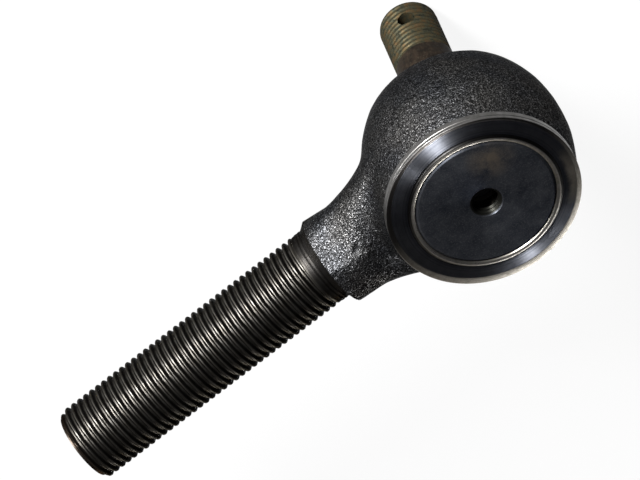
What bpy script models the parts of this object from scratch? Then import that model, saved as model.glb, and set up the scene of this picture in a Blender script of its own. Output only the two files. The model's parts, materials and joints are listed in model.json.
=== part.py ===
"""Tie rod end: a forged housing with a threaded shank, and a ball stud that turns and tilts in it.

The origin is the centre of the shank's end face. +X points out of that face, away from the ball.
+Z runs along the stud's axis at rest, out of the cover, so the stud hangs down.
Every piece is drawn around the ball's centre, in millimetres, and hangs on an empty that stands there.
"""

import math

import bpy
from mathutils import Matrix

MM = 0.001
STEPS = 40  # flats round a large turned piece
FINE_STEPS = 32  # flats round a small one

# Ball joint
BALL_R = 10.0
BEARING_GAP = 0.25  # grease film between the ball and its bearings
GAP = 0.3  # room between two pieces that rest on each other
TILT_LIMIT = math.radians(22)

# Stud, measured down from the ball's centre
NECK_R = 5.0
COLLAR_R = 6.6
COLLAR_TOP = -18.6
COLLAR_BOTTOM = -21.9
TAPER_TOP_R = 6.4
TAPER_END_R = 5.95
THREAD_TOP = -30.9
STUD_THREAD_R = 5.9  # M12 x 1.25
STUD_END = -46.1
PIN_HOLE_R = 1.75
PIN_HOLE_Z = -40.3
PIN_HOLE_TURN = math.radians(71.5)  # direction of the split-pin hole, from +X

# Housing
COVER_Z = 15.7  # outer face of the cover and of the rolled lip
LIP_IN_R = 13.9
LIP_CREST_R = 15.3
LIP_OUT_R = 18.85
LIP_EDGE_Z = 14.9
BAND_R = 18.95  # machined band under the lip
BAND_BOTTOM = 13.1
BARREL_TOP_R = 19.15
BARREL_R = 20.6  # widest place of the forged barrel
BARREL_Z = 1.7
BARREL_LOWER_ARC_R = 27.0
FOOT_R = 14.2
FOOT_Z = -13.5  # stud-side end of the housing
GROOVE_R = 13.4
GROOVE_TOP = -10.5
GROOVE_BOTTOM = -12.7
BORE_R = 13.2
LEDGE_Z = 12.7  # step that the cover rests on
LEDGE_R = 15.7
SEAT_FLOOR = -8.8
MOUTH_R = 9.6

# Shank, measured from the stud's axis
SHANK_END = 95.0
ARM_START = 13.0  # the neck and its web start this far inside the socket
SHOULDER_X = 33.2
SHOULDER_R = 9.3
SHOULDER_RISE = 0.9  # the forged neck sits a little towards the cover
ARM_LEAN = 0.11  # and climbs towards the cover as it nears the socket
WEB_FLATTEN = 0.8
WEB_FILLET_R = 40.0  # seen from above, between the neck and the barrel
UNDERCUT_R = 7.7
UNDERCUT_START = 34.7
UNDERCUT_END = 36.7
SHANK_R = 7.9  # M16 x 1.5
SHANK_CHAMFER = 0.9

# Cover
COVER_R = 15.4
COVER_FACE_R = 13.45
COVER_BOTTOM = 13.0
GREASE_HOLE_R = 3.0
GREASE_CHAMFER_R = 3.4

# Bearings and spring
BEARING_R = 12.9
SEAT_TOP = 0.2
SEAT_BOTTOM = SEAT_FLOOR + GAP
CUP_BOTTOM = 1.2
CUP_RIM_Z = 6.5
CUP_TOP = 10.9
CUP_DOME_R = 10.3
CUP_HOLE_R = 3.0
SPRING_R = 11.4
SPRING_WIRE_R = 0.65
SPRING_TURNS = 2.75

# Boot and its rings
BOOT_WALL = 0.95
RING_WIRE_R = 0.4

COLOURS = {
    "forged_steel": ((0.06, 0.06, 0.062, 1), 0.6, 0.85),
    "cover_steel": ((0.035, 0.04, 0.05, 1), 0.45, 0.9),
    "stud_steel": ((0.10, 0.085, 0.055, 1), 0.45, 0.9),
    "spring_steel": ((0.16, 0.16, 0.17, 1), 0.35, 1.0),
    "bearing_plastic": ((0.72, 0.70, 0.62, 1), 0.5, 0.0),
    "cup_steel": ((0.22, 0.21, 0.19, 1), 0.5, 0.9),
    "boot_rubber": ((0.02, 0.02, 0.02, 1), 0.7, 0.0),
    "ring_steel": ((0.30, 0.30, 0.31, 1), 0.35, 1.0),
}


def clear_scene():
    for old in list(bpy.data.objects):
        bpy.data.objects.remove(old, do_unlink=True)


def collection(name):
    made = bpy.data.collections.new(name)
    bpy.context.scene.collection.children.link(made)
    return made


def material(name):
    colour, roughness, metallic = COLOURS[name]
    made = bpy.data.materials.new(name)
    made.use_nodes = True
    shader = made.node_tree.nodes["Principled BSDF"]
    shader.inputs["Base Color"].default_value = colour
    shader.inputs["Roughness"].default_value = roughness
    shader.inputs["Metallic"].default_value = metallic
    return made


def arc(centre, radius, start_deg, end_deg, count):
    """Points on an arc in the profile plane, from one angle to another, both ends included."""
    angles = [math.radians(start_deg + (end_deg - start_deg) * i / (count - 1)) for i in range(count)]
    return [(centre[0] + radius * math.cos(a), centre[1] + radius * math.sin(a)) for a in angles]


def sphere_arc(radius, z_start, z_end, count):
    """Points on a ball's outline between two heights."""
    first = math.degrees(math.asin(z_start / radius))
    last = math.degrees(math.asin(z_end / radius))
    return arc((0, 0), radius, first, last, count)


def turned(name, profile, steps, ring=False):
    """A solid turned about local Z. The profile, in millimetres, runs down its outer side.

    A ring's profile is a closed loop. Any other profile starts and ends on the axis.
    """
    mesh = bpy.data.meshes.new(name)
    points = [(r * MM, 0, z * MM) for r, z in profile]
    edges = [(i, i + 1) for i in range(len(points) - 1)]
    if ring:
        edges.append((len(points) - 1, 0))
    mesh.from_pydata(points, edges, [])
    made = bpy.data.objects.new(name, mesh)
    screw = made.modifiers.new("turn", "SCREW")
    screw.axis = "Z"
    screw.angle = math.tau
    screw.steps = steps
    screw.render_steps = steps
    screw.use_merge_vertices = True
    screw.merge_threshold = 0.00001
    screw.use_smooth_shade = False
    return made


def cylinder(name, radius, length):
    """A plain cylinder about local Z, centred on its origin."""
    bpy.ops.mesh.primitive_cylinder_add(vertices=24, radius=radius * MM, depth=length * MM)
    made = bpy.context.object
    made.name = name
    for owner in list(made.users_collection):
        owner.objects.unlink(made)
    return made


def boolean(target, tool, operation):
    step = target.modifiers.new(f"{operation.lower()} {tool.name}", "BOOLEAN")
    step.operation = operation
    step.solver = "EXACT"
    step.object = tool


def as_tool(tool, cutters, parent):
    """Files a Boolean operand away: drawn as wire, never rendered."""
    cutters.objects.link(tool)
    tool.parent = parent
    tool.display_type = "WIRE"
    tool.hide_render = True
    return tool


def as_part(made, parts, parent, look):
    parts.objects.link(made)
    made.parent = parent
    made.data.materials.append(look)
    return made


def apply_modifiers(made):
    """Swaps the object's mesh for its evaluated one."""
    bpy.context.view_layer.update()
    evaluated = made.evaluated_get(bpy.context.evaluated_depsgraph_get())
    mesh = bpy.data.meshes.new_from_object(evaluated)
    mesh.name = made.name
    made.modifiers.clear()
    made.data = mesh
    return mesh


def apply_and_shade(made):
    """Applies the modifiers, then shades the mesh smooth with its sharp edges kept."""
    mesh = apply_modifiers(made)
    mesh.shade_smooth()
    mesh.set_sharp_from_angle(angle=math.radians(32))


def housing_outline():
    """The socket's outside: lip, band, barrel, boot groove and foot."""
    rise = BAND_BOTTOM - BARREL_Z
    swell = BARREL_R - BARREL_TOP_R
    upper_arc_r = (rise**2 + swell**2) / (2 * swell)
    upper_deg = math.degrees(math.asin(rise / upper_arc_r))
    lower_deg = math.degrees(math.asin((BARREL_Z - GROOVE_TOP) / BARREL_LOWER_ARC_R))
    return [
        (0, COVER_Z),
        (LIP_CREST_R, COVER_Z),
        (LIP_OUT_R - 0.4, COVER_Z - 0.25),
        (LIP_OUT_R, COVER_Z - 0.6),
        (LIP_OUT_R, LIP_EDGE_Z),
        (BAND_R, LIP_EDGE_Z - 0.3),
        (BAND_R, BAND_BOTTOM),
        *arc((BARREL_R - upper_arc_r, BARREL_Z), upper_arc_r, upper_deg, 0, 4),
        *arc((BARREL_R - BARREL_LOWER_ARC_R, BARREL_Z), BARREL_LOWER_ARC_R, 0, -lower_deg, 6)[1:],
        (GROOVE_R, GROOVE_TOP),
        (GROOVE_R, GROOVE_BOTTOM),
        (FOOT_R, GROOVE_BOTTOM),
        (FOOT_R, FOOT_Z),
        (0, FOOT_Z),
    ]


def cavity_outline():
    """What is hollow in the socket, from the rolled lip down to the flared mouth for the stud."""
    flare = math.tan(TILT_LIMIT)
    foot_mouth_r = MOUTH_R + flare * (SEAT_FLOOR - FOOT_Z)
    return [
        (0, COVER_Z + 1),
        (LIP_IN_R, COVER_Z + 1),
        (LIP_IN_R, COVER_Z - 0.4),
        (LEDGE_R, LEDGE_Z + 1.6),
        (LEDGE_R, LEDGE_Z),
        (BORE_R, LEDGE_Z),
        (BORE_R, -5.1),
        (BEARING_R - 2.0, SEAT_FLOOR),
        (MOUTH_R, SEAT_FLOOR),
        (foot_mouth_r, FOOT_Z),
        (foot_mouth_r, FOOT_Z - 1),
        (0, FOOT_Z - 1),
    ]


def neck_outline():
    """The forged neck's outline along X, from the shoulder to inside the socket's wall."""
    return [(SHOULDER_X, 0), (SHOULDER_X, SHOULDER_R), (ARM_START, SHOULDER_R), (ARM_START, 0)]


def web_outline():
    """The web's outline along X: a fillet that meets the neck and the barrel without a corner."""
    rise = SHOULDER_R + WEB_FILLET_R
    fillet_x = math.sqrt((BARREL_R + WEB_FILLET_R) ** 2 - rise**2)
    start_deg = -90 - math.degrees(math.asin((fillet_x - SHOULDER_X + 1) / WEB_FILLET_R))
    end_deg = -90 - math.degrees(math.asin((fillet_x - ARM_START) / WEB_FILLET_R))
    fillet = arc((fillet_x, rise), WEB_FILLET_R, start_deg, end_deg, 8)
    return [(fillet[0][0], 0), *fillet, (ARM_START, 0)]


def shank_outline():
    return [
        (SHANK_END, 0),
        (SHANK_END, SHANK_R - SHANK_CHAMFER),
        (SHANK_END - SHANK_CHAMFER, SHANK_R),
        (UNDERCUT_END + SHANK_R - UNDERCUT_R, SHANK_R),
        (UNDERCUT_END, UNDERCUT_R),
        (UNDERCUT_START, UNDERCUT_R),
        (SHOULDER_X, SHOULDER_R - 0.5),
        (SHOULDER_X - 6, SHOULDER_R - 0.5),
        (SHOULDER_X - 6, 0),
    ]


def along_x(outline):
    """Turns (x, radius) points into a profile about local Z, which then points along +X."""
    return [(r, x) for x, r in outline]


def housing(cutters, centre):
    """Socket, web, neck and shank in one piece, hollowed last."""
    body = turned("housing", housing_outline(), STEPS)
    axis_rise = SHOULDER_RISE + ARM_LEAN * SHOULDER_X
    for name, outline, rise, lean, flatten in (
        ("web", web_outline(), axis_rise, ARM_LEAN, WEB_FLATTEN),
        ("neck", neck_outline(), axis_rise, ARM_LEAN, 1.0),
        ("shank", shank_outline(), 0.0, 0.0, 1.0),
    ):
        arm = as_tool(turned(name, along_x(outline), STEPS), cutters, centre)
        apply_modifiers(arm).transform(Matrix.Shear("XY", 4, (lean / flatten, 0)))
        arm.rotation_euler.y = math.radians(90)
        arm.scale.x = flatten
        arm.location.z = rise * MM
        boolean(body, arm, "UNION")
    cavity = as_tool(turned("cavity", cavity_outline(), STEPS), cutters, centre)
    boolean(body, cavity, "DIFFERENCE")
    return body


def cover_plate():
    """Flat disc with a bevelled rim under the rolled lip, and a hole for a grease fitting."""
    chamfer = GREASE_CHAMFER_R - GREASE_HOLE_R
    profile = [
        (GREASE_CHAMFER_R, COVER_Z),
        (COVER_FACE_R, COVER_Z),
        (COVER_R, LEDGE_Z + 1.3),
        (COVER_R, COVER_BOTTOM),
        (GREASE_HOLE_R, COVER_BOTTOM),
        (GREASE_HOLE_R, COVER_Z - chamfer),
    ]
    return turned("cover_plate", profile, STEPS, ring=True)


def bearing_seat():
    """Ring on the stud's side. Its hollow fits the ball, and its lower edge lets the stud tilt."""
    inner_r = BALL_R + BEARING_GAP
    edge_angle = math.asin(NECK_R / inner_r) + TILT_LIMIT + math.radians(1.8)
    edge_z = -inner_r * math.cos(edge_angle)
    hollow = sphere_arc(inner_r, edge_z, SEAT_TOP, 6)
    end_r = hollow[0][0] + math.tan(TILT_LIMIT) * (edge_z - SEAT_BOTTOM)
    profile = [
        (BEARING_R, SEAT_TOP),
        (BEARING_R, -5.0),
        (BEARING_R - 2.3, SEAT_BOTTOM),
        (end_r, SEAT_BOTTOM),
        *hollow,
    ]
    return turned("bearing_seat", profile, STEPS, ring=True)


def pressure_cup():
    """Dished bearing on the cover's side, with a rim for the spring and a hole for grease."""
    inner_r = BALL_R + BEARING_GAP
    hole_z = math.sqrt(inner_r**2 - CUP_HOLE_R**2)
    profile = [
        (CUP_HOLE_R, CUP_TOP),
        (CUP_DOME_R - 0.6, CUP_TOP),
        (CUP_DOME_R, CUP_TOP - 0.6),
        (CUP_DOME_R, CUP_RIM_Z),
        (BEARING_R - 0.4, CUP_RIM_Z),
        (BEARING_R, CUP_RIM_Z - 0.4),
        (BEARING_R, CUP_BOTTOM),
        *sphere_arc(inner_r, CUP_BOTTOM, hole_z, 8),
    ]
    return turned("pressure_cup", profile, STEPS, ring=True)


def pressure_spring():
    """Coil spring between the cup's rim and the cover."""
    low = CUP_RIM_Z + SPRING_WIRE_R + GAP
    high = COVER_BOTTOM - SPRING_WIRE_R - GAP
    count = int(SPRING_TURNS * 16) + 1
    curve = bpy.data.curves.new("spring_line", "CURVE")
    curve.dimensions = "3D"
    curve.bevel_depth = SPRING_WIRE_R * MM
    curve.bevel_resolution = 2
    curve.use_fill_caps = True
    line = curve.splines.new("POLY")
    line.points.add(count - 1)
    for i, point in enumerate(line.points):
        share = i / (count - 1)
        turn = math.tau * SPRING_TURNS * share
        z = low + (high - low) * share
        point.co = (SPRING_R * MM * math.cos(turn), SPRING_R * MM * math.sin(turn), z * MM, 1)
    return bpy.data.objects.new("pressure_spring", curve)


def ball_stud(cutters, centre):
    """Ball, waist, collar for the boot, taper for the steering arm, and threaded end."""
    neck_top = -math.sqrt(BALL_R**2 - NECK_R**2)
    chamfer = 0.9
    profile = [
        *arc((0, 0), BALL_R, 90, math.degrees(math.asin(neck_top / BALL_R)), 16),
        (NECK_R, COLLAR_TOP + 2.2),
        (COLLAR_R, COLLAR_TOP),
        (COLLAR_R, COLLAR_BOTTOM),
        (TAPER_TOP_R, COLLAR_BOTTOM - 0.2),
        (TAPER_END_R, THREAD_TOP),
        (STUD_THREAD_R, THREAD_TOP - 0.1),
        (STUD_THREAD_R, STUD_END + chamfer),
        (STUD_THREAD_R - chamfer, STUD_END),
        (0, STUD_END),
    ]
    profile[0] = (0, BALL_R)
    stud = turned("ball_stud", profile, STEPS)
    hole = as_tool(cylinder("pin_hole", PIN_HOLE_R, 4 * STUD_THREAD_R), cutters, centre)
    hole.location.z = PIN_HOLE_Z * MM
    hole.rotation_euler = (0, math.radians(90), PIN_HOLE_TURN)
    boolean(stud, hole, "DIFFERENCE")
    return stud


def dust_boot():
    """Low boot: a bead in the housing's groove, one fold, and a lip on the stud's collar."""
    groove_r = GROOVE_R + 0.15
    foot_r = FOOT_R + 0.15
    lip_r = COLLAR_R + 0.1
    wall = BOOT_WALL
    profile = [
        (groove_r + wall, GROOVE_TOP - 0.2),
        (groove_r + wall, GROOVE_BOTTOM + 0.4),
        (foot_r + wall, GROOVE_BOTTOM - 0.1),
        (foot_r + wall, FOOT_Z + 0.2),
        (foot_r - 0.5, FOOT_Z - 1.5),
        (lip_r + 4.8, FOOT_Z - 3.2),
        (lip_r + 3.4, COLLAR_TOP - 0.2),
        (lip_r + 1.3, COLLAR_TOP - 0.5),
        (lip_r + 1.3, COLLAR_BOTTOM + 0.3),
        (lip_r, COLLAR_BOTTOM + 0.3),
        (lip_r, COLLAR_TOP),
        (lip_r + 3.0, COLLAR_TOP + 1.0),
        (lip_r + 4.3, FOOT_Z - 2.3),
        (foot_r - 1.4, FOOT_Z - 1.1),
        (foot_r - 0.4, FOOT_Z - 0.3),
        (foot_r, FOOT_Z - 0.1),
        (foot_r, GROOVE_BOTTOM + 0.15),
        (groove_r, GROOVE_BOTTOM + 0.15),
        (groove_r, GROOVE_TOP - 0.2),
    ]
    return turned("dust_boot", profile, STEPS, ring=True)


def wire_ring(name, centre_r, z):
    """A closed ring of round wire: a turned circle."""
    count = 6
    profile = arc((centre_r, z), RING_WIRE_R, 90, 90 - 360 * (count - 1) / count, count)
    return turned(name, profile, FINE_STEPS, ring=True)


def main():
    clear_scene()
    parts = collection("tie_rod_end")
    cutters = collection("cutters")
    looks = {name: material(name) for name in COLOURS}

    centre = bpy.data.objects.new("ball_centre", None)
    parts.objects.link(centre)
    centre.location.x = -SHANK_END * MM

    large_ring_r = GROOVE_R + 0.15 + BOOT_WALL + RING_WIRE_R + 0.1
    small_ring_r = COLLAR_R + 1.4 + RING_WIRE_R + 0.1
    made = [
        (housing(cutters, centre), "forged_steel"),
        (cover_plate(), "cover_steel"),
        (pressure_spring(), "spring_steel"),
        (pressure_cup(), "cup_steel"),
        (bearing_seat(), "bearing_plastic"),
        (ball_stud(cutters, centre), "stud_steel"),
        (dust_boot(), "boot_rubber"),
        (wire_ring("boot_large_ring", large_ring_r, GROOVE_TOP - 0.9), "ring_steel"),
        (wire_ring("boot_small_ring", small_ring_r, COLLAR_TOP - 1.9), "ring_steel"),
    ]
    for piece, look in made:
        as_part(piece, parts, centre, looks[look])
        if piece.type == "MESH":
            apply_and_shade(piece)


main()
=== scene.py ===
"""Looks of a tie rod end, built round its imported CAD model.

Lengths are millimetres from the ball's centre unless a comment says otherwise. +X runs out along
the shank, +Z out of the cover, and the stud points down.
"""

import json
import math

import bmesh
import bpy
import numpy as np
from mathutils import Matrix, Vector, noise


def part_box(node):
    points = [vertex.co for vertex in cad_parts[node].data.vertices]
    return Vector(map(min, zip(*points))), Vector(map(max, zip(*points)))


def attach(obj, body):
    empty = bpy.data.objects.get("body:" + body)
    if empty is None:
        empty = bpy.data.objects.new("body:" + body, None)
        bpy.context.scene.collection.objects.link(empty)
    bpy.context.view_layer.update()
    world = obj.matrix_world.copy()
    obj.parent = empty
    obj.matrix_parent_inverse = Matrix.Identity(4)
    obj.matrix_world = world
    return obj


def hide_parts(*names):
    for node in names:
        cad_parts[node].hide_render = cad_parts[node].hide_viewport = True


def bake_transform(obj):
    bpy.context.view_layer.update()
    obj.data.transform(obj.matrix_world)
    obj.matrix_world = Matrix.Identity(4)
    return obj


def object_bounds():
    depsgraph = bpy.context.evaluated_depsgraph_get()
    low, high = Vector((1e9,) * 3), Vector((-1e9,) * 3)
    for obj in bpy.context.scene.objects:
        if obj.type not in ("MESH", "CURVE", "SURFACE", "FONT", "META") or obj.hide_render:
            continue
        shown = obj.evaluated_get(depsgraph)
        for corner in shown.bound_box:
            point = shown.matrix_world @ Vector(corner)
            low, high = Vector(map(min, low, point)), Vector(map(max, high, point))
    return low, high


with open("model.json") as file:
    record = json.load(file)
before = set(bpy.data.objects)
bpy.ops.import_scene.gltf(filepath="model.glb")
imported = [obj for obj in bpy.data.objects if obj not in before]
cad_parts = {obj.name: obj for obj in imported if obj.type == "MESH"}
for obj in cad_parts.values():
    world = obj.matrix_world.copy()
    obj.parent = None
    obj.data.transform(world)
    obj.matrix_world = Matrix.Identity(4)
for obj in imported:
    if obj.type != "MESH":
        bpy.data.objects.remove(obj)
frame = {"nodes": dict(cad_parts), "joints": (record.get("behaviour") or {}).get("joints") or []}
cad_low, cad_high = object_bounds()

MM = 0.001
BALL = Vector(frame["joints"][0]["pos_m"])
SHANK_END = (cad_high.x - BALL.x) / MM
COVER_Z = (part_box("cover_plate")[1].z - BALL.z) / MM
STUD_END = (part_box("ball_stud")[0].z - BALL.z) / MM

# Socket
CREST_IN_R = 13.9  # rolled bead that holds the cover in
CREST_R = 14.6
CREST_OUT_R = 15.35
FACE_IN_R = 15.5  # polished face outside the bead
FACE_IN_DROP = 0.42  # below the top of the bead, like the drops that follow
FACE_MID_R = 17.0
FACE_MID_DROP = 0.48
FACE_OUT_R = 18.35
FACE_OUT_DROP = 0.6
LIP_R = 19.3  # outer edge of the worn slope outside the polished face
LIP_DROP = 0.88
BAND_R = 19.25  # turned wall under the lip
BAND_BOTTOM = 13.1
FACE_SHIFT = (0.05, -0.35)  # how far the polished face's outer circle lies off the cover's
RING_SHIFT = (0.38, 0.26)  # how far the lip's outer circle and the band lie off the cover's
PAINTED_REFLECTION_PLACE = (-15.4, 7.4, COVER_Z)  # where a pale painted reflection lies on the polished face
BARREL_R = 20.45
BARREL_Z = 1.7  # height of the barrel's widest place
CREASE_Z = 4.3  # faint ridge left by the forging dies
CREASE_RISE = 0.05
CREASE_SWELL = 0.06
LUMP_HEIGHT = 0.07
BARREL_UPPER_ARC_R = 46.0
BARREL_LOWER_ARC_R = 27.0
GROOVE_R = 13.4
GROOVE_TOP = -10.5
GROOVE_BOTTOM = -12.7
FOOT_R = 14.2
FOOT_Z = -13.5
BORE_R = 13.2
LEDGE_R = 15.7
LEDGE_Z = 12.7
SEAT_FLOOR = -8.8
MOUTH_R = 9.6
MOUTH_FLARE = math.tan(math.radians(22))

# Neck, web and shank
ARM_START = 13.0  # the neck and web start inside the socket's wall
SHOULDER_X = 33.2
SHOULDER_R = 9.3
SHOULDER_RISE = 0.9  # at the shoulder, the neck's axis lies this far above the shank's
ARM_LEAN = 0.11  # and it rises towards the socket
WEB_FLATTEN = 0.8
WEB_FILLET_R = 40.0
FACET_DEPTH = 0.85  # flat along the neck
FACET_FACING = (-0.787, 0.617)  # the way it faces, in Y and Z
NECK_MARKS = (((24.6, -3.2, 10.0), 0.6, 0.55), ((26.1, -5.0, 9.0), 0.7, -0.5))  # place, width, rise
DIP_DEPTH = 2.4  # how far the neck's upper side sinks beside the socket
RELIEF_R = 7.75
THREAD_START = 36.9
SHANK_R = 7.9
SHANK_PITCH = 1.5
SHANK_THREAD_DEPTH = 0.6134 * SHANK_PITCH
SHANK_CHAMFER = 0.9

# Cover
COVER_FACE_R = 13.45
COVER_R = 15.4
COVER_BOTTOM = 13.0
HOLE_R = 3.0
HOLE_CHAMFER_R = 3.4
HOLE_PITCH = 1.0
STAIN_PLACE = (-6.7, -7.9, COVER_Z)

# Stud
BALL_R = 10.0
NECK_R = 5.0
COLLAR_R = 6.6
COLLAR_TOP = -18.6
COLLAR_BOTTOM = -21.9
TAPER_TOP_R = 6.4
TAPER_END_R = 5.97
STUD_THREAD_TOP = -30.9
STUD_THREAD_R = 5.9
STUD_PITCH = 1.25
STUD_THREAD_DEPTH = 0.15  # worn and filled with rust
STUD_CHAMFER = 1.6
PIN_HOLE_R = 1.75
PIN_HOLE_Z = -40.3
PIN_HOLE_TURN = math.radians(71.5)

# Boot
BOOT_WALL = 0.95

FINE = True
VOXEL = 0.325 if FINE else 0.65
SAMPLES_PER_TURN = 14 if FINE else 8


# ---------------------------------------------------------------- mesh helpers


def place(name, mesh, smooth_deg=35):
    """Links a mesh made about the ball's centre, shaded smooth except at its sharp edges."""
    made = bpy.data.objects.new(name, mesh)
    bpy.context.scene.collection.objects.link(made)
    made.location = BALL
    mesh.shade_smooth()
    mesh.set_sharp_from_angle(angle=math.radians(smooth_deg))
    return made


def arc(centre, radius, start_deg, end_deg, count):
    """Points along a circular arc, from one angle to another."""
    turns = np.radians(np.linspace(start_deg, end_deg, count))
    return [(centre[0] + radius * math.cos(a), centre[1] + radius * math.sin(a)) for a in turns]


def soften(points, radius, loop=False, count=4):
    """Rounds each real corner of a profile, leaving points along arcs as they are."""
    pts = [np.array(p, float) for p in points]
    last = len(pts) - 1
    out = []
    for i, p in enumerate(pts):
        if not loop and i in (0, last):
            out.append(tuple(p))
            continue
        to_a, to_b = pts[i - 1] - p, pts[(i + 1) % len(pts)] - p
        len_a, len_b = np.linalg.norm(to_a), np.linalg.norm(to_b)
        straightness = -np.dot(to_a, to_b) / (len_a * len_b)
        if straightness > math.cos(math.radians(14)):
            out.append(tuple(p))
            continue
        reach = min(radius, 0.45 * len_a, 0.45 * len_b)
        start, end = p + to_a / len_a * reach, p + to_b / len_b * reach
        for t in np.linspace(0, 1, count):
            out.append(tuple((1 - t) ** 2 * start + 2 * t * (1 - t) * p + t * t * end))
    return out


def revolve(name, profile, steps=160, axis="Z", loop=False, carve=None):
    """Turns (radius, height) points about Z or X. carve(radius, height, angle) may cut a thread."""
    angle = np.linspace(0, math.tau, steps, endpoint=False)[None, :]
    radius = np.array([p[0] for p in profile])[:, None] + 0 * angle
    height = np.array([p[1] for p in profile])[:, None] + 0 * angle
    if carve:
        radius = carve(radius, height, angle + 0 * radius)
    across, up = radius * np.cos(angle), radius * np.sin(angle)
    order = (height, across, up) if axis == "X" else (across, up, height)
    points = np.stack(order, -1).reshape(-1, 3) * MM
    index = np.arange(len(points)).reshape(len(profile), steps)
    if loop:
        index = np.vstack([index, index[:1]])
    near, far = index[:-1], index[1:]
    quads = np.stack([near, far, np.roll(far, -1, 1), np.roll(near, -1, 1)], -1).reshape(-1, 4)
    mesh = bpy.data.meshes.new(name)
    mesh.from_pydata(points.tolist(), [], quads.tolist())
    clean = bmesh.new()
    clean.from_mesh(mesh)
    bmesh.ops.remove_doubles(clean, verts=clean.verts, dist=1e-8)
    bmesh.ops.recalc_face_normals(clean, faces=clean.faces)
    clean.to_mesh(mesh)
    clean.free()
    return place(name, mesh)


def dense(start, end, radius_at, spacing):
    """Points of a profile between two heights, close enough together to carry a thread."""
    count = max(2, int(abs(end - start) / spacing) + 1)
    return [(radius_at(h), h) for h in np.linspace(start, end, count)]


def thread(pitch, depth, start, end, fade):
    """A carve function that cuts a right-hand V thread with flat crests between two heights."""

    def carve(radius, height, angle):
        phase = (height / pitch - angle / math.tau) % 1.0
        from_crest = np.abs(phase - 0.5) * 2
        groove = np.clip((from_crest - 0.14) / 0.66, 0, 1)
        low, high = min(start, end), max(start, end)
        inside = np.clip((height - low) / fade, 0, 1) * np.clip((high - height) / fade, 0, 1)
        return radius - depth * groove * inside

    return carve


def boolean(target, tool, operation):
    step = target.modifiers.new(operation.lower(), "BOOLEAN")
    step.operation = operation
    step.solver = "EXACT"
    step.object = tool


def bake(made):
    """Applies an object's modifiers."""
    bpy.context.view_layer.update()
    evaluated = made.evaluated_get(bpy.context.evaluated_depsgraph_get())
    mesh = bpy.data.meshes.new_from_object(evaluated)
    made.modifiers.clear()
    made.data = mesh


def remove(*tools):
    for tool in tools:
        bpy.data.objects.remove(tool)


def read_vectors(mesh, attribute):
    """A vertex's co or normal for every vertex, one row each."""
    flat = np.empty(len(mesh.vertices) * 3)
    mesh.vertices.foreach_get(attribute, flat)
    return flat.reshape(-1, 3)


def write_points(mesh, points):
    """Moves a mesh's vertices to points in millimetres."""
    mesh.vertices.foreach_set("co", points.ravel() * MM)
    mesh.update()


# ---------------------------------------------------------------- pieces


def barrel_profile():
    upper_deg = math.degrees(math.asin((BAND_BOTTOM + 0.1 - BARREL_Z) / BARREL_UPPER_ARC_R))
    lower_deg = math.degrees(math.asin((BARREL_Z - GROOVE_TOP) / BARREL_LOWER_ARC_R))
    outline = [
        (0, BAND_BOTTOM + 0.1),
        *arc((BARREL_R - BARREL_UPPER_ARC_R, BARREL_Z), BARREL_UPPER_ARC_R, upper_deg, 0, 16),
        *arc((BARREL_R - BARREL_LOWER_ARC_R, BARREL_Z), BARREL_LOWER_ARC_R, 0, -lower_deg, 16)[1:],
        (GROOVE_R, GROOVE_TOP),
        (GROOVE_R, GROOVE_BOTTOM),
        (FOOT_R, GROOVE_BOTTOM),
        (FOOT_R, FOOT_Z),
        (0, FOOT_Z),
    ]
    return soften(outline, 0.7)


def cavity_profile():
    foot_mouth_r = MOUTH_R + MOUTH_FLARE * (SEAT_FLOOR - FOOT_Z)
    return [
        (0, COVER_Z + 1),
        (LEDGE_R, COVER_Z + 1),
        (LEDGE_R, LEDGE_Z),
        (BORE_R, LEDGE_Z),
        (BORE_R, -5.1),
        (BORE_R - 2.3, SEAT_FLOOR),
        (MOUTH_R, SEAT_FLOOR),
        (foot_mouth_r, FOOT_Z),
        (foot_mouth_r, FOOT_Z - 1),
        (0, FOOT_Z - 1),
    ]


def arm(name, outline, flatten):
    """A neck or web turned about X, flattened, and leaning up towards the cover near the socket."""
    made = revolve(name, [(r, x) for x, r in outline], 128, axis="X")
    rise = SHOULDER_RISE + ARM_LEAN * SHOULDER_X
    flat = Matrix.Diagonal((1, 1, flatten, 1))
    lean = Matrix(((1, 0, 0, 0), (0, 1, 0, 0), (-ARM_LEAN, 0, 1, rise * MM), (0, 0, 0, 1)))
    made.data.transform(lean @ flat)
    return made


def neck_outline():
    return [(SHOULDER_X, 0), (SHOULDER_X, SHOULDER_R), (ARM_START, SHOULDER_R), (ARM_START, 0)]


def web_outline():
    rise = SHOULDER_R + WEB_FILLET_R
    fillet_x = math.sqrt((BARREL_R + WEB_FILLET_R) ** 2 - rise**2)
    start_deg = -90 - math.degrees(math.asin((fillet_x - SHOULDER_X + 1) / WEB_FILLET_R))
    end_deg = -90 - math.degrees(math.asin((fillet_x - ARM_START) / WEB_FILLET_R))
    fillet = arc((fillet_x, rise), WEB_FILLET_R, start_deg, end_deg, 24)
    return [(fillet[0][0], 0), *fillet, (ARM_START, 0)]


def ramp(values, low, high):
    """0 below low, 1 above high, smooth between."""
    t = np.clip((values - low) / (high - low), 0, 1)
    return t * t * (3 - 2 * t)


def relax(points, edges, weight, rounds):
    """Laplacian smoothing in place, stronger where the weight is nearer to 1."""
    count = len(points)
    a, b = edges[:, 0], edges[:, 1]
    share = np.bincount(a, minlength=count) + np.bincount(b, minlength=count)
    for _ in range(rounds):
        total = np.empty_like(points)
        for k in range(3):
            from_b = np.bincount(a, points[b, k], count)
            from_a = np.bincount(b, points[a, k], count)
            total[:, k] = from_a + from_b
        points += 0.5 * weight[:, None] * (total / share[:, None] - points)


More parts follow.
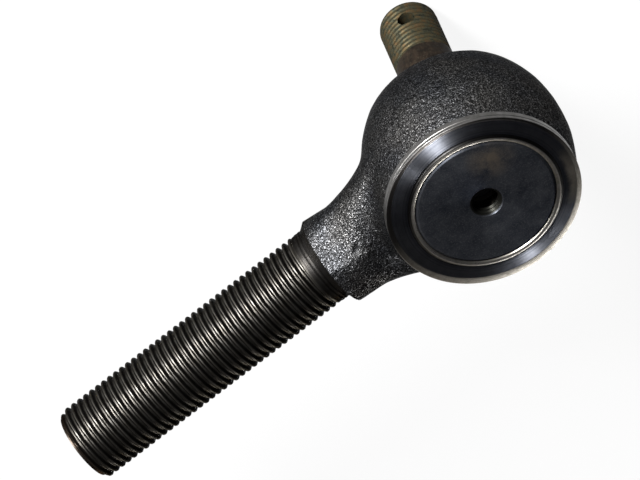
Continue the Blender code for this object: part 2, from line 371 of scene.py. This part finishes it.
def forging():
    """Socket, web and neck as one rough forging, with blended joints and an uneven skin."""
    made = revolve("forging", barrel_profile(), 144)
    web = arm("web", web_outline(), WEB_FLATTEN)
    neck = arm("neck", neck_outline(), 1.0)
    cavity = revolve("cavity", cavity_profile(), 96)
    boolean(made, web, "UNION")
    boolean(made, neck, "UNION")
    boolean(made, cavity, "DIFFERENCE")
    remesh = made.modifiers.new("voxels", "REMESH")
    remesh.mode = "VOXEL"
    remesh.voxel_size = VOXEL * MM
    bake(made)
    remove(web, neck, cavity)

    mesh = made.data
    points = read_vectors(mesh, "co") / MM
    radius = np.hypot(points[:, 0], points[:, 1])
    shape_neck(points, radius)
    blend_joints(mesh, points, radius)
    write_points(mesh, points)

    normal = read_vectors(mesh, "normal")
    mark_neck(points, normal)
    shift_top(points, radius)
    raise_crease(points, radius)
    roughen(points, normal, radius)
    write_points(mesh, points)
    mesh.shade_smooth()
    return made


def shape_neck(points, radius):
    """Sinks the neck beside the socket, and cuts a flat along it."""
    x, y, z = points.T
    # just outside the socket's wall, on the shank's side, near the cover, and not on the +Y side
    dip = ramp(radius, 19.2, 20.6) * ramp(-radius, -28, -21.5) * ramp(x, 8, 12) * ramp(z, 3, 9)
    dip *= ramp(-y, -5, 0)
    z -= DIP_DEPTH * dip
    axis_z = SHOULDER_RISE + ARM_LEAN * (SHOULDER_X - x)
    height = y * FACET_FACING[0] + (z - axis_z) * FACET_FACING[1]
    proud = np.clip(height - (SHOULDER_R - FACET_DEPTH), 0, 2) * ramp(x, 22, 29)
    y -= proud * FACET_FACING[0]
    z -= proud * FACET_FACING[1]


def blend_joints(mesh, points, radius):
    """Rounds the corners between barrel, web and neck."""
    pairs = np.empty(len(mesh.edges) * 2, int)
    mesh.edges.foreach_get("vertices", pairs)
    x = points[:, 0]
    joint = ramp(x, 10, 13) * ramp(-x, -31, -26) * ramp(radius, 15.8, 17.5)
    relax(points, pairs.reshape(-1, 2), joint, int(22 / VOXEL))


def mark_neck(points, normal):
    """A small nub and a small pit."""
    for spot, width, rise in NECK_MARKS:
        near = np.exp(-(((points - np.array(spot)) ** 2).sum(1)) / width**2)
        points += normal * (rise * near)[:, None]


def shift_top(points, radius):
    """Moves the top of the barrel most of the way that the lip is shifted."""
    share = 0.8 * ramp(points[:, 2], 3, 12) * ramp(radius, 16.3, 17.0)
    points[:, 0] += RING_SHIFT[0] * share
    points[:, 1] += RING_SHIFT[1] * share


def raise_crease(points, radius):
    """The dies' parting ridge round the barrel, on a faint swelling, away from the web."""
    x, _, z = points.T
    off = np.abs(z - CREASE_Z)
    rise = CREASE_SWELL * np.clip(1 - off / 4, 0, 1) + CREASE_RISE * np.exp(-((off / 0.4) ** 2))
    rise *= ramp(radius, 19.0, 19.8) * ramp(-x, -12, -4)
    points[:, :2] *= (1 + rise / np.maximum(radius, 1))[:, None]


def roughen(points, normal, radius):
    """Uneven forged skin on the outside, fading out at the shoulder."""
    outside = ramp(radius, 16.3, 17.0) * ramp(-points[:, 0], -SHOULDER_X + 0.1, -SHOULDER_X + 1.2)
    lumps = np.array([noise.noise(Vector(p) / 5.0) + 0.4 * noise.noise(Vector(p) / 1.7) for p in points])
    points += normal * (LUMP_HEIGHT * outside * lumps)[:, None]


def head():
    """The turned top of the socket: grooved band, polished face and rolled crest."""
    outline = [
        (17.5, BAND_BOTTOM - 0.7),
        (BAND_R, BAND_BOTTOM - 0.7),
        (BAND_R, COVER_Z - 2.15),
        (BAND_R - 0.1, COVER_Z - 2.05),
        (BAND_R - 0.1, COVER_Z - 1.95),
        (BAND_R, COVER_Z - 1.85),
        (BAND_R, COVER_Z - 1.25),
        (BAND_R - 0.08, COVER_Z - 1.19),
        (BAND_R - 0.08, COVER_Z - 1.13),
        (LIP_R, COVER_Z - 1.07),
        (LIP_R, COVER_Z - LIP_DROP - 0.1),
        (LIP_R - 0.1, COVER_Z - LIP_DROP),
        (FACE_OUT_R + 0.06, COVER_Z - FACE_OUT_DROP),
        (FACE_MID_R, COVER_Z - FACE_MID_DROP),
        (FACE_IN_R, COVER_Z - FACE_IN_DROP),
        (CREST_OUT_R, COVER_Z - FACE_IN_DROP - 0.06),
        (CREST_OUT_R - 0.2, COVER_Z - 0.36),
        (CREST_OUT_R - 0.4, COVER_Z - 0.12),
        (CREST_R, COVER_Z),
        (CREST_IN_R + 0.25, COVER_Z - 0.12),
        (CREST_IN_R, COVER_Z - 0.45),
        (CREST_IN_R, COVER_Z - 0.9),
        (LEDGE_R - 0.5, LEDGE_Z + 1.0),
        (LEDGE_R - 0.5, BAND_BOTTOM - 0.7),
    ]
    made = revolve("machined_head", soften(outline, 0.12, loop=True, count=5), 224, loop=True)
    made.data.materials.append(polished_look())
    made.data.materials.append(worn_and_painted_shade_look())
    for face in made.data.polygons:
        radius = math.hypot(face.center.x, face.center.y) / MM
        polished = face.normal.z > 0.5 and FACE_IN_R - 0.1 < radius < FACE_OUT_R + 0.02
        face.material_index = 0 if polished else 1
    for vertex in made.data.vertices:
        radius = math.hypot(vertex.co.x, vertex.co.y) / MM
        face_share = min(1, max(0, (radius - CREST_OUT_R) / (FACE_OUT_R - CREST_OUT_R)))
        ring_share = min(1, max(0, (radius - FACE_OUT_R) / (LIP_R - 0.3 - FACE_OUT_R)))
        for k in range(2):
            shift = face_share * FACE_SHIFT[k] * (1 - ring_share) + ring_share * RING_SHIFT[k]
            vertex.co[k] += MM * shift
    return made


def shank():
    """The plain relief next to the shoulder and the threaded shank, turned about X."""

    def envelope(x):
        chamfer = SHANK_R - max(0, x - (SHANK_END - SHANK_CHAMFER))
        step = RELIEF_R + (SHANK_R - RELIEF_R) * min(1, max(0, (x - THREAD_START) / 0.4))
        return min(step, chamfer)

    threaded = dense(THREAD_START - 0.3, SHANK_END, envelope, SHANK_PITCH / SAMPLES_PER_TURN)
    profile = [
        (0, SHOULDER_X - 6),
        (SHOULDER_R - 0.9, SHOULDER_X - 6),
        (SHOULDER_R - 0.35, SHOULDER_X + 0.05),
        (RELIEF_R + 0.45, SHOULDER_X + 1.0),
        (RELIEF_R + 0.12, SHOULDER_X + 1.5),
        (RELIEF_R - 0.02, SHOULDER_X + 1.75),
        (RELIEF_R + 0.12, SHOULDER_X + 2.0),
        (RELIEF_R + 0.12, SHOULDER_X + 2.25),
        (RELIEF_R - 0.04, SHOULDER_X + 2.5),
        (RELIEF_R + 0.1, SHOULDER_X + 2.75),
        (RELIEF_R + 0.1, SHOULDER_X + 3.0),
        *threaded,
        (0, SHANK_END),
    ]

    def carve(radius, height, angle):
        groove = thread(SHANK_PITCH, SHANK_THREAD_DEPTH, THREAD_START, SHANK_END + 1, 0.6)
        cut = groove(radius, height, angle)
        floor = SHANK_R - SHANK_THREAD_DEPTH
        return np.where(height > THREAD_START, np.maximum(cut, np.minimum(radius, floor)), radius)

    return revolve("threaded_shank", profile, 120, axis="X", carve=carve)


def cover():
    """Cover disc with a rounded rim and a tapped hole, its mouth chamfered."""
    chamfer = HOLE_CHAMFER_R - HOLE_R
    outline = [
        (HOLE_CHAMFER_R, COVER_Z - 0.02),
        (COVER_FACE_R, COVER_Z - 0.02),
        (COVER_R, LEDGE_Z + 1.3),
        (COVER_R, COVER_BOTTOM),
        (HOLE_R + 0.2, COVER_BOTTOM),
    ]
    wall = dense(COVER_BOTTOM + 0.2, COVER_Z - chamfer, lambda h: HOLE_R, 0.1)
    profile = soften(outline, 0.12) + wall

    def carve(radius, height, angle):
        phase = (height / HOLE_PITCH - angle / math.tau) % 1.0
        ridge = np.clip(1.25 - np.abs(phase - 0.5) * 3.2, 0, 1)
        return np.where(radius < HOLE_R + 0.01, radius - 0.32 * ridge, radius)

    return revolve("cover_disc", profile, 144, loop=True, carve=carve)


def stud():
    """Ball, waist, boot collar, steering-arm taper and threaded end with a split-pin hole."""
    neck_top = -math.sqrt(BALL_R**2 - NECK_R**2)
    ball = arc((0, 0), BALL_R, 90, math.degrees(math.asin(neck_top / BALL_R)), 40)

    def envelope(z):
        into = min(1, (z - STUD_END) / STUD_CHAMFER)
        return STUD_THREAD_R - STUD_CHAMFER * (1 - math.sqrt(1 - (1 - into) ** 2))

    upper = [
        (NECK_R, neck_top),
        (NECK_R, COLLAR_TOP + 2.2),
        (COLLAR_R, COLLAR_TOP),
        (COLLAR_R, COLLAR_BOTTOM),
        (TAPER_TOP_R, COLLAR_BOTTOM - 0.2),
        (TAPER_END_R, STUD_THREAD_TOP),
    ]
    threaded = dense(STUD_THREAD_TOP - 0.1, STUD_END, envelope, STUD_PITCH / SAMPLES_PER_TURN)
    profile = [(0, BALL_R), *ball[1:-1], *soften(upper, 0.5), *threaded, (0, STUD_END)]

    def carve(radius, height, angle):
        groove = thread(STUD_PITCH, STUD_THREAD_DEPTH, STUD_END - 1, STUD_THREAD_TOP - 0.2, 0.5)
        cut = groove(radius, height, angle)
        floor = STUD_THREAD_R - STUD_THREAD_DEPTH
        return np.where(height < STUD_THREAD_TOP, np.maximum(cut, np.minimum(radius, floor)), radius)

    made = revolve("stud", profile, 112, carve=carve)
    bpy.ops.mesh.primitive_cylinder_add(
        vertices=48,
        radius=PIN_HOLE_R * MM,
        depth=30 * MM,
        location=BALL + Vector((0, 0, PIN_HOLE_Z * MM)),
    )
    pin = bpy.context.object
    pin.rotation_euler = (0, math.radians(90), PIN_HOLE_TURN)
    boolean(made, pin, "DIFFERENCE")
    bake(made)
    remove(pin)
    made.data.shade_smooth()
    made.data.set_sharp_from_angle(angle=math.radians(35))
    return made


def boot():
    """Rubber boot: a bead in the housing's groove, one low fold, and a lip on the stud's collar."""
    groove_r = GROOVE_R + 0.15
    foot_r = FOOT_R + 0.15
    lip_r = COLLAR_R + 0.1
    wall = BOOT_WALL
    outline = [
        (groove_r + wall, GROOVE_TOP - 0.2),
        (groove_r + wall, GROOVE_BOTTOM + 0.4),
        (foot_r + wall, GROOVE_BOTTOM - 0.1),
        (foot_r + wall, FOOT_Z + 0.2),
        (foot_r - 0.5, FOOT_Z - 1.5),
        (lip_r + 4.8, FOOT_Z - 3.2),
        (lip_r + 3.4, COLLAR_TOP - 0.2),
        (lip_r + 1.3, COLLAR_TOP - 0.5),
        (lip_r + 1.3, COLLAR_BOTTOM + 0.3),
        (lip_r, COLLAR_BOTTOM + 0.3),
        (lip_r, COLLAR_TOP),
        (lip_r + 3.0, COLLAR_TOP + 1.0),
        (lip_r + 4.3, FOOT_Z - 2.3),
        (foot_r - 1.4, FOOT_Z - 1.1),
        (foot_r - 0.4, FOOT_Z - 0.3),
        (foot_r, FOOT_Z - 0.1),
        (foot_r, GROOVE_BOTTOM + 0.15),
        (groove_r, GROOVE_BOTTOM + 0.15),
        (groove_r, GROOVE_TOP - 0.2),
    ]
    return revolve("rubber_boot", soften(outline, 0.5, loop=True), 144, loop=True)


def wire_ring(name, node):
    """A round-wire ring where the CAD ring lies."""
    low, high = (np.array(corner - BALL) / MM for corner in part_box(node))
    wire = (high[2] - low[2]) / 2
    section = arc((high[0] - wire, (low[2] + high[2]) / 2), wire, 0, 337.5, 16)
    return revolve(name, section, 144, loop=True)


# ---------------------------------------------------------------- materials


def add(tree, kind, inputs=None, **settings):
    """Adds a node. An input is a value or the socket that feeds it."""
    node = tree.nodes.new(kind)
    for key, value in settings.items():
        setattr(node, key, value)
    for key, value in (inputs or {}).items():
        if isinstance(value, bpy.types.NodeSocket):
            tree.links.new(value, node.inputs[key])
        else:
            node.inputs[key].default_value = value
    return node


def look(name, **values):
    """A material with a Principled shader, its node tree, and object coordinates in millimetres."""
    made = bpy.data.materials.new(name)
    made.use_nodes = True
    tree = made.node_tree
    shader = tree.nodes["Principled BSDF"]
    for key, value in values.items():
        shader.inputs[key.replace("_", " ")].default_value = value
    coords = add(tree, "ShaderNodeTexCoord").outputs["Object"]
    scale = add(tree, "ShaderNodeVectorMath", {0: coords, 3: 1 / MM}, operation="SCALE")
    return made, tree, shader, scale.outputs[0]


def grain(tree, where, scale, detail=3.0, rough=0.6):
    inputs = {"Vector": where, "Scale": scale, "Detail": detail, "Roughness": rough}
    return add(tree, "ShaderNodeTexNoise", inputs).outputs["Fac"]


def colours(tree, factor, stops):
    """A colour ramp. stops are (position, grey or colour)."""
    node = add(tree, "ShaderNodeValToRGB", {"Fac": factor})
    elements = node.color_ramp.elements
    while len(elements) < len(stops):
        elements.new(0.5)
    for element, (position, colour) in zip(elements, stops):
        element.position = position
        rgb = (colour,) * 3 if isinstance(colour, (int, float)) else colour
        element.color = (*rgb, 1)
    return node.outputs["Color"]


def spread(tree, value, low, high, out_low=0.0, out_high=1.0):
    """out_low at low and out_high at high, straight between and level beyond."""
    inputs = {0: value, 1: low, 2: high, 3: out_low, 4: out_high}
    return add(tree, "ShaderNodeMapRange", inputs).outputs[0]


def mixed(tree, factor, a, b, mode="MIX"):
    node = add(tree, "ShaderNodeMix", data_type="RGBA", blend_type=mode)
    for socket, value in ((node.inputs[0], factor), (node.inputs[6], a), (node.inputs[7], b)):
        if isinstance(value, bpy.types.NodeSocket):
            tree.links.new(value, socket)
        elif isinstance(value, (int, float)):
            socket.default_value = value
        else:
            socket.default_value = (*value, 1)
    return node.outputs[2]


def tinted(tree, colour, tint):
    return mixed(tree, 1.0, colour, tint, "MULTIPLY")


def maths(tree, operation, a, b):
    return add(tree, "ShaderNodeMath", {0: a, 1: b}, operation=operation).outputs[0]


def vector(tree, operation, a, b=(0, 0, 0)):
    return add(tree, "ShaderNodeVectorMath", {0: a, 1: b}, operation=operation)


def bumped(tree, shader, height, depth_mm, strength=1.0):
    inputs = {"Height": height, "Distance": depth_mm * MM, "Strength": strength}
    tree.links.new(add(tree, "ShaderNodeBump", inputs).outputs[0], shader.inputs["Normal"])


def feed(tree, shader, **sockets):
    for key, socket in sockets.items():
        tree.links.new(socket, shader.inputs[key.replace("_", " ")])


def radius_about(tree, where, axis="Z"):
    """Distance from an axis through the ball's centre, in millimetres."""
    keep = (1, 1, 0) if axis == "Z" else (0, 1, 1)
    flat = vector(tree, "MULTIPLY", where, keep).outputs[0]
    return vector(tree, "LENGTH", flat).outputs[1]


def distance_from(tree, where, place):
    return vector(tree, "DISTANCE", where, place).outputs[1]


def along(tree, where, axis):
    return add(tree, "ShaderNodeSeparateXYZ", {0: where}).outputs[axis]


def turned_place(tree, where, axis="Z"):
    """Radius and height as a texture position, so that grain runs in rings."""
    inputs = {0: radius_about(tree, where, axis), 1: along(tree, where, axis)}
    return add(tree, "ShaderNodeCombineXYZ", inputs).outputs[0]


def turning_marks(tree, shader, strength, axis="Z"):
    """Stretches highlights across the marks that turning leaves round an axis."""
    shader.inputs["Anisotropic"].default_value = strength
    shader.inputs["Anisotropic Rotation"].default_value = 0.25
    node = add(tree, "ShaderNodeTangent", direction_type="RADIAL", axis=axis)
    tree.links.new(node.outputs[0], shader.inputs["Tangent"])


def grey(value):
    return (value, value, value, 1)


def forged_look():
    """Shot-blasted forging: dark hollows between small bright grains."""
    made, tree, shader, where = look("forged_steel", Metallic=1.0, Specular_Tint=grey(0.3))
    fine = grain(tree, where, 3.4, 2.0, 0.6)
    coarse = grain(tree, where, 1.1, 2.0, 0.5)
    patches = grain(tree, where, 0.12, 3.0, 0.6)
    base = colours(tree, fine, [(0.36, 0.005), (0.5, 0.018), (0.6, 0.050), (0.72, 0.16)])
    tint = colours(tree, patches, [(0.3, (0.80, 0.83, 0.90)), (0.7, (1.15, 1.12, 1.08))])
    feed(tree, shader, Base_Color=tinted(tree, base, tint))
    feed(tree, shader, Roughness=spread(tree, fine, 0.35, 0.7, 0.54, 0.36))
    height = maths(tree, "ADD", maths(tree, "MULTIPLY", coarse, 1.6), fine)
    bumped(tree, shader, height, 0.17, 1.0)
    return made


def polished_look():
    """Fine circular marks that draw highlights out along the radius, and a pale painted reflection at
    one place.
    """
    made, tree, shader, where = look("polished_steel", Metallic=1.0, Specular_Tint=grey(0.2))
    rings = grain(tree, turned_place(tree, where), 6.0, 2.0)
    haze = grain(tree, where, 0.35, 3.0)
    base = colours(tree, rings, [(0.3, (0.075, 0.08, 0.095)), (0.7, (0.13, 0.135, 0.15))])
    # painted reflection: a pale patch on the outer part of the face near one place
    near = spread(tree, distance_from(tree, where, PAINTED_REFLECTION_PLACE), 7.0, 2.0)
    ragged = maths(tree, "ADD", radius_about(tree, where), spread(tree, haze, 0.3, 0.7, -0.3, 0.3))
    painted_reflection = maths(tree, "MULTIPLY", near, spread(tree, ragged, 16.2, 17.2))
    base = mixed(tree, painted_reflection, base, (0.55, 0.51, 0.43))
    feed(tree, shader, Base_Color=tinted(tree, base, colours(tree, haze, [(0.3, 0.8), (0.7, 1.15)])))
    feed(tree, shader, Roughness=spread(tree, rings, 0.3, 0.7, 0.38, 0.46))
    turning_marks(tree, shader, 0.98)
    return made


def worn_and_painted_shade_look():
    """The crest bead, outer slope and band. The slope is painted pale on the +Y side as a reflection,
    and painted dark as shade on the other.
    """
    made, tree, shader, where = look("worn_steel_painted_shade", Metallic=1.0)
    rings = grain(tree, turned_place(tree, where), 6.0, 2.0)
    wear = grain(tree, where, 0.5, 4.0, 0.65)
    radius = radius_about(tree, where)
    stops = [
        (0.06, (0.02, 0.018, 0.015)),
        (0.11, (0.36, 0.35, 0.325)),
        (0.20, (0.33, 0.32, 0.30)),
        (0.24, (0.012, 0.012, 0.012)),
        (0.36, (0.02, 0.02, 0.022)),
        (0.80, (0.27, 0.26, 0.235)),
    ]
    across = colours(tree, spread(tree, radius, 13.5, 19.5), stops)
    # painted shade: the slope is darkened on the -Y side, so only its +Y side keeps the pale painted
    # reflection
    painted_shade_side = spread(tree, along(tree, where, "Y"), 8.0, -5.0)
    slope = spread(tree, radius, 17.6, 18.4)
    painted_shade_colour = tinted(tree, across, (0.10, 0.10, 0.11))
    across = mixed(tree, maths(tree, "MULTIPLY", painted_shade_side, slope), across, painted_shade_colour)
    above_band = spread(tree, along(tree, where, "Z"), COVER_Z - 1.12, COVER_Z - 1.0)
    base = mixed(tree, above_band, (0.10, 0.10, 0.10), across)
    worn = colours(tree, wear, [(0.35, (0.62, 0.60, 0.56)), (0.65, (1.15, 1.12, 1.1))])
    feed(tree, shader, Base_Color=tinted(tree, base, worn))
    outer = spread(tree, radius, 17.5, 18.5, 0.0, 0.04)
    rough = maths(tree, "ADD", spread(tree, wear, 0.3, 0.7, 0.38, 0.26), outer)
    ringed = spread(tree, rings, 0.3, 0.7, -0.05, 0.08)
    feed(tree, shader, Roughness=maths(tree, "ADD", rough, ringed))
    bumped(tree, shader, maths(tree, "ADD", rings, wear), 0.015, 0.5)
    turning_marks(tree, shader, 0.3)
    return made


def cover_look():
    """Oiled sheet steel with a faint brown stain, and painted shade on the wall of its hole."""
    made, tree, shader, where = look(
        "cover_steel", Metallic=0.85, Specular_IOR_Level=0.0, Specular_Tint=grey(0.12)
    )
    radius = radius_about(tree, where)
    rings = grain(tree, add(tree, "ShaderNodeCombineXYZ", {0: radius}).outputs[0], 3.0, 3.0)
    clouds = grain(tree, where, 0.25, 4.0, 0.65)
    specks = grain(tree, where, 4.0, 2.0, 0.6)
    base = colours(tree, clouds, [(0.3, (0.016, 0.018, 0.023)), (0.7, (0.037, 0.039, 0.044))])
    base = mixed(tree, spread(tree, specks, 0.5, 0.8, 0.0, 0.5), base, (0.08, 0.08, 0.082))
    near = spread(tree, distance_from(tree, where, STAIN_PLACE), 0.5, 5.5, 1.0, 0.0)
    stain = maths(tree, "MULTIPLY", near, spread(tree, clouds, 0.35, 0.6))
    base = mixed(tree, maths(tree, "MULTIPLY", stain, 0.8), base, (0.085, 0.070, 0.054))
    # painted shade: the wall of the hole is painted nearly black
    painted_hole_shade = spread(tree, radius, HOLE_R + 0.3, HOLE_R + 0.1)
    base = mixed(tree, painted_hole_shade, base, (0.008, 0.008, 0.007))
    feed(tree, shader, Base_Color=base)
    feed(tree, shader, Roughness=spread(tree, rings, 0.3, 0.7, 0.34, 0.46))
    bumped(tree, shader, maths(tree, "ADD", rings, specks), 0.02, 0.5)
    turning_marks(tree, shader, 0.4)
    return made


def shank_look():
    """Cut thread: crests and roots painted pale as highlight lines, flanks painted dark as shade, and
    rust at the shank's end.
    """
    made, tree, shader, where = look("thread_steel", Metallic=1.0, Specular_Tint=grey(0.3))
    radius = radius_about(tree, where, "X")
    x = along(tree, where, "X")
    marks = grain(tree, add(tree, "ShaderNodeCombineXYZ", {0: x, 1: radius}).outputs[0], 4.0, 3.0)
    dirt = grain(tree, where, 0.5, 4.0, 0.7)
    # painted highlight and shade: crests and roots pale, flanks dark
    stops = [
        (0.0, (0.045, 0.0435, 0.041)),
        (0.3, (0.014, 0.0135, 0.013)),
        (0.7, (0.014, 0.0135, 0.013)),
        (1.0, (0.055, 0.0535, 0.050)),
    ]
    base = colours(tree, spread(tree, radius, SHANK_R - 0.9, SHANK_R - 0.05), stops)
    soiled = colours(tree, dirt, [(0.35, (0.72, 0.68, 0.62)), (0.65, (1.1, 1.08, 1.05))])
    base = tinted(tree, base, soiled)
    relief = spread(tree, x, THREAD_START + 0.1, THREAD_START - 0.2)
    base = mixed(tree, relief, base, tinted(tree, base, (0.38, 0.38, 0.40)))
    rust_edge = maths(tree, "ADD", x, spread(tree, dirt, 0.3, 0.7, -0.5, 0.5))
    rust = spread(tree, rust_edge, SHANK_END - 1.4, SHANK_END - 0.7)
    base = mixed(tree, maths(tree, "MULTIPLY", rust, 0.75), base, (0.020, 0.014, 0.010))
    feed(tree, shader, Base_Color=base)
    feed(tree, shader, Roughness=spread(tree, marks, 0.3, 0.7, 0.38, 0.50))
    bumped(tree, shader, marks, 0.09, 0.9)
    turning_marks(tree, shader, 0.2, "X")
    return made


def stud_look():
    """Olive passivation gone rusty on the thread, brown on the taper, and a bright ball."""
    made, tree, shader, where = look(
        "stud_steel", Metallic=0.8, Specular_IOR_Level=0.15, Specular_Tint=grey(0.3)
    )
    z = along(tree, where, "Z")
    stains = grain(tree, where, 0.7, 4.0, 0.7)
    specks = grain(tree, where, 3.0, 2.0, 0.6)
    stops = [
        (0.3, (0.010, 0.010, 0.007)),
        (0.44, (0.032, 0.033, 0.022)),
        (0.56, (0.044, 0.034, 0.017)),
        (0.68, (0.058, 0.034, 0.017)),
    ]
    olive = colours(tree, stains, stops)
    radius = radius_about(tree, where)
    # painted shade: the thread's grooves are painted darker
    depth = spread(tree, radius, STUD_THREAD_R - 0.15, STUD_THREAD_R - 0.02, 0.82, 1.0)
    threads_painted_shade = tinted(tree, olive, depth)
    plain = colours(tree, stains, [(0.3, (0.008, 0.006, 0.0045)), (0.7, (0.026, 0.018, 0.0125))])
    thread_zone = spread(tree, z, STUD_THREAD_TOP + 0.3, STUD_THREAD_TOP - 0.3)
    base = mixed(tree, thread_zone, plain, threads_painted_shade)
    base = mixed(tree, spread(tree, specks, 0.5, 0.8, 0.0, 0.35), base, (0.09, 0.078, 0.055))
    ball_zone = spread(tree, z, -12.0, -10.0)
    base = mixed(tree, ball_zone, base, (0.42, 0.42, 0.43))
    feed(tree, shader, Base_Color=base)
    feed(tree, shader, Roughness=spread(tree, stains, 0.3, 0.7, 0.34, 0.5))
    bumped(tree, shader, specks, 0.02, 0.5)
    turning_marks(tree, shader, 0.4)
    return made


def rubber_look():
    """Matt black rubber with a slight haze."""
    made, tree, shader, where = look("boot_rubber", Metallic=0.0, Specular_IOR_Level=0.25)
    fine = grain(tree, where, 3.0, 3.0)
    haze = grain(tree, where, 0.3, 3.0)
    feed(tree, shader, Base_Color=colours(tree, haze, [(0.3, 0.005), (0.7, 0.012)]))
    feed(tree, shader, Roughness=spread(tree, fine, 0.3, 0.7, 0.55, 0.75))
    bumped(tree, shader, fine, 0.05, 0.5)
    return made


def plain_metal_look(name, dark, light, smooth, rough):
    """Drawn or pressed steel: two tones in streaks, with uneven roughness."""
    made, tree, shader, where = look(name, Metallic=1.0)
    streaks = grain(tree, where, 1.6, 4.0)
    feed(tree, shader, Base_Color=colours(tree, streaks, [(0.3, dark), (0.7, light)]))
    feed(tree, shader, Roughness=spread(tree, streaks, 0.3, 0.7, smooth, rough))
    bumped(tree, shader, streaks, 0.015, 0.4)
    return made


def seat_look():
    """Satin bearing plastic, a little yellowed."""
    made, tree, shader, where = look("bearing_plastic", Metallic=0.0)
    haze = grain(tree, where, 0.4, 3.0)
    base = colours(tree, haze, [(0.3, (0.60, 0.57, 0.47)), (0.7, (0.74, 0.71, 0.62))])
    feed(tree, shader, Base_Color=base)
    feed(tree, shader, Roughness=spread(tree, haze, 0.3, 0.7, 0.42, 0.58))
    bumped(tree, shader, grain(tree, where, 3.0, 2.0), 0.01, 0.4)
    return made


# ---------------------------------------------------------------- assembly


def finished(piece, body, slot, material, *nodes):
    """Gives a piece its look, unless it has one, hides the CAD nodes it stands for and attaches it to
    its body. The slot is not used.
    """
    if material:
        piece.data.materials.append(material)
    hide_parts(*nodes)
    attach(piece, body)


def dress_node(node, material):
    """Gives a carried-over CAD node its material."""
    carried = frame["nodes"][node]
    carried.data.materials.clear()
    carried.data.materials.append(material)


finished(forging(), "housing", "forged_steel", forged_look(), "housing")
finished(head(), "housing", "forged_steel", None, "housing")
finished(shank(), "housing", "forged_steel", shank_look(), "housing")
finished(cover(), "housing", "cover_steel", cover_look(), "cover_plate")
finished(stud(), "ball_stud", "stud_steel", stud_look(), "ball_stud")

wire = plain_metal_look("ring_steel", 0.22, 0.42, 0.2, 0.38)
finished(wire_ring("large_ring", "boot_large_ring"), "housing", "ring_steel", wire, "boot_large_ring")
finished(wire_ring("small_ring", "boot_small_ring"), "boot_end", "ring_steel", wire, "boot_small_ring")

rubber = boot()
rubber.data.materials.append(rubber_look())
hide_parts("dust_boot")
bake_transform(rubber)

dress_node("pressure_spring", plain_metal_look("spring_steel", 0.12, 0.24, 0.25, 0.42))
cup = plain_metal_look("cup_steel", (0.14, 0.13, 0.11), (0.26, 0.24, 0.2), 0.35, 0.55)
dress_node("pressure_cup", cup)
dress_node("bearing_seat", seat_look())


# ---------------------------------------------------------------- stage

CAMERA_RIGHT = Vector((-0.78074, 0.57832, 0.23663))
CAMERA_UP = Vector((-0.59281, -0.56583, -0.57307))
CAMERA_BACK = Vector((-0.19753, -0.5877, 0.7846))
CAMERA_SHIFT_RIGHT = -28.07
CAMERA_SHIFT_UP = -16.19
CAMERA_DISTANCE = 1540.0
CAMERA_LENS = 450

FLOOR_GAP = 0.5  # room between the floor and the stud's end
LIGHT_DISTANCE = 1.2  # metres, like the sizes that follow
SOFT_BOXES = (  # name, direction, width, height, and what a mirror would show of it
    ("key", (0.12, -0.915, 0.39), 0.28, 0.5, 165.0),
    ("key_core", (0.12, -0.915, 0.39), 0.09, 0.5, 170.0),
    ("fill", (0.1, 0.98, 0.12), 0.6, 0.25, 22.0),
    ("strip", (0.67, -0.71, 0.23), 0.05, 0.5, 200.0),
)
WINDOW_TURN = math.radians(58)  # direction of the pale part of the room, from +X


def place_camera():
    """Looks down on the cover at a slant, from far off with a long lens."""
    camera = bpy.data.objects.new("camera", bpy.data.cameras.new("camera"))
    bpy.context.scene.collection.objects.link(camera)
    camera.data.lens = CAMERA_LENS
    camera.data.clip_start = 0.1
    camera.data.clip_end = 100
    offset = (
        CAMERA_SHIFT_RIGHT * CAMERA_RIGHT + CAMERA_SHIFT_UP * CAMERA_UP + CAMERA_DISTANCE * CAMERA_BACK
    )
    turn = Matrix((CAMERA_RIGHT, CAMERA_UP, CAMERA_BACK)).transposed().to_4x4()
    camera.matrix_world = Matrix.Translation(BALL + offset * MM) @ turn
    bpy.context.scene.camera = camera


def soft_box(name, direction, width, height, radiance):
    """A rectangular area light facing the part."""
    light = bpy.data.lights.new(name, "AREA")
    light.shape = "RECTANGLE"
    light.size, light.size_y = width, height
    light.energy = radiance * math.pi * width * height
    made = bpy.data.objects.new(name, light)
    bpy.context.scene.collection.objects.link(made)
    away = Vector(direction).normalized()
    made.location = BALL + away * LIGHT_DISTANCE
    made.rotation_euler = away.to_track_quat("Z", "Y").to_euler()


def pale_floor():
    """A floor that glows nearly white. It reflects little, so the lights don't brighten it."""
    height = BALL.z + (STUD_END - FLOOR_GAP) * MM
    bpy.ops.mesh.primitive_plane_add(size=12, location=(BALL.x, 0, height))
    floor = bpy.context.object
    floor.name = "floor"
    paint = bpy.data.materials.new("pale_floor")
    paint.use_nodes = True
    shader = paint.node_tree.nodes["Principled BSDF"]
    shader.inputs["Base Color"].default_value = grey(0.04)
    shader.inputs["Specular IOR Level"].default_value = 0.0
    shader.inputs["Roughness"].default_value = 0.9
    shader.inputs["Emission Color"].default_value = grey(1)
    shader.inputs["Emission Strength"].default_value = 0.9
    floor.data.materials.append(paint)


def dim_room():
    """A dark room with a pale, warm window low down on one side."""
    room = bpy.data.worlds.new("room")
    room.use_nodes = True
    tree = room.node_tree
    direction = add(tree, "ShaderNodeTexCoord").outputs["Generated"]
    low = colours(tree, along(tree, direction, "Z"), [(0.0, 1.0), (0.3, 1.0), (0.42, 0.0)])
    window = (math.cos(WINDOW_TURN), math.sin(WINDOW_TURN), 0)
    towards = vector(tree, "DOT_PRODUCT", direction, window).outputs[1]
    share = maths(tree, "MULTIPLY", low, spread(tree, towards, 0.60, 0.76))
    sky = mixed(tree, share, (0.05, 0.05, 0.055), (0.62, 0.56, 0.47))
    tree.links.new(sky, tree.nodes["Background"].inputs["Color"])
    bpy.context.scene.world = room


place_camera()
pale_floor()
dim_room()
for values in SOFT_BOXES:
    soft_box(*values)
bpy.context.scene.view_settings.view_transform = "Standard"
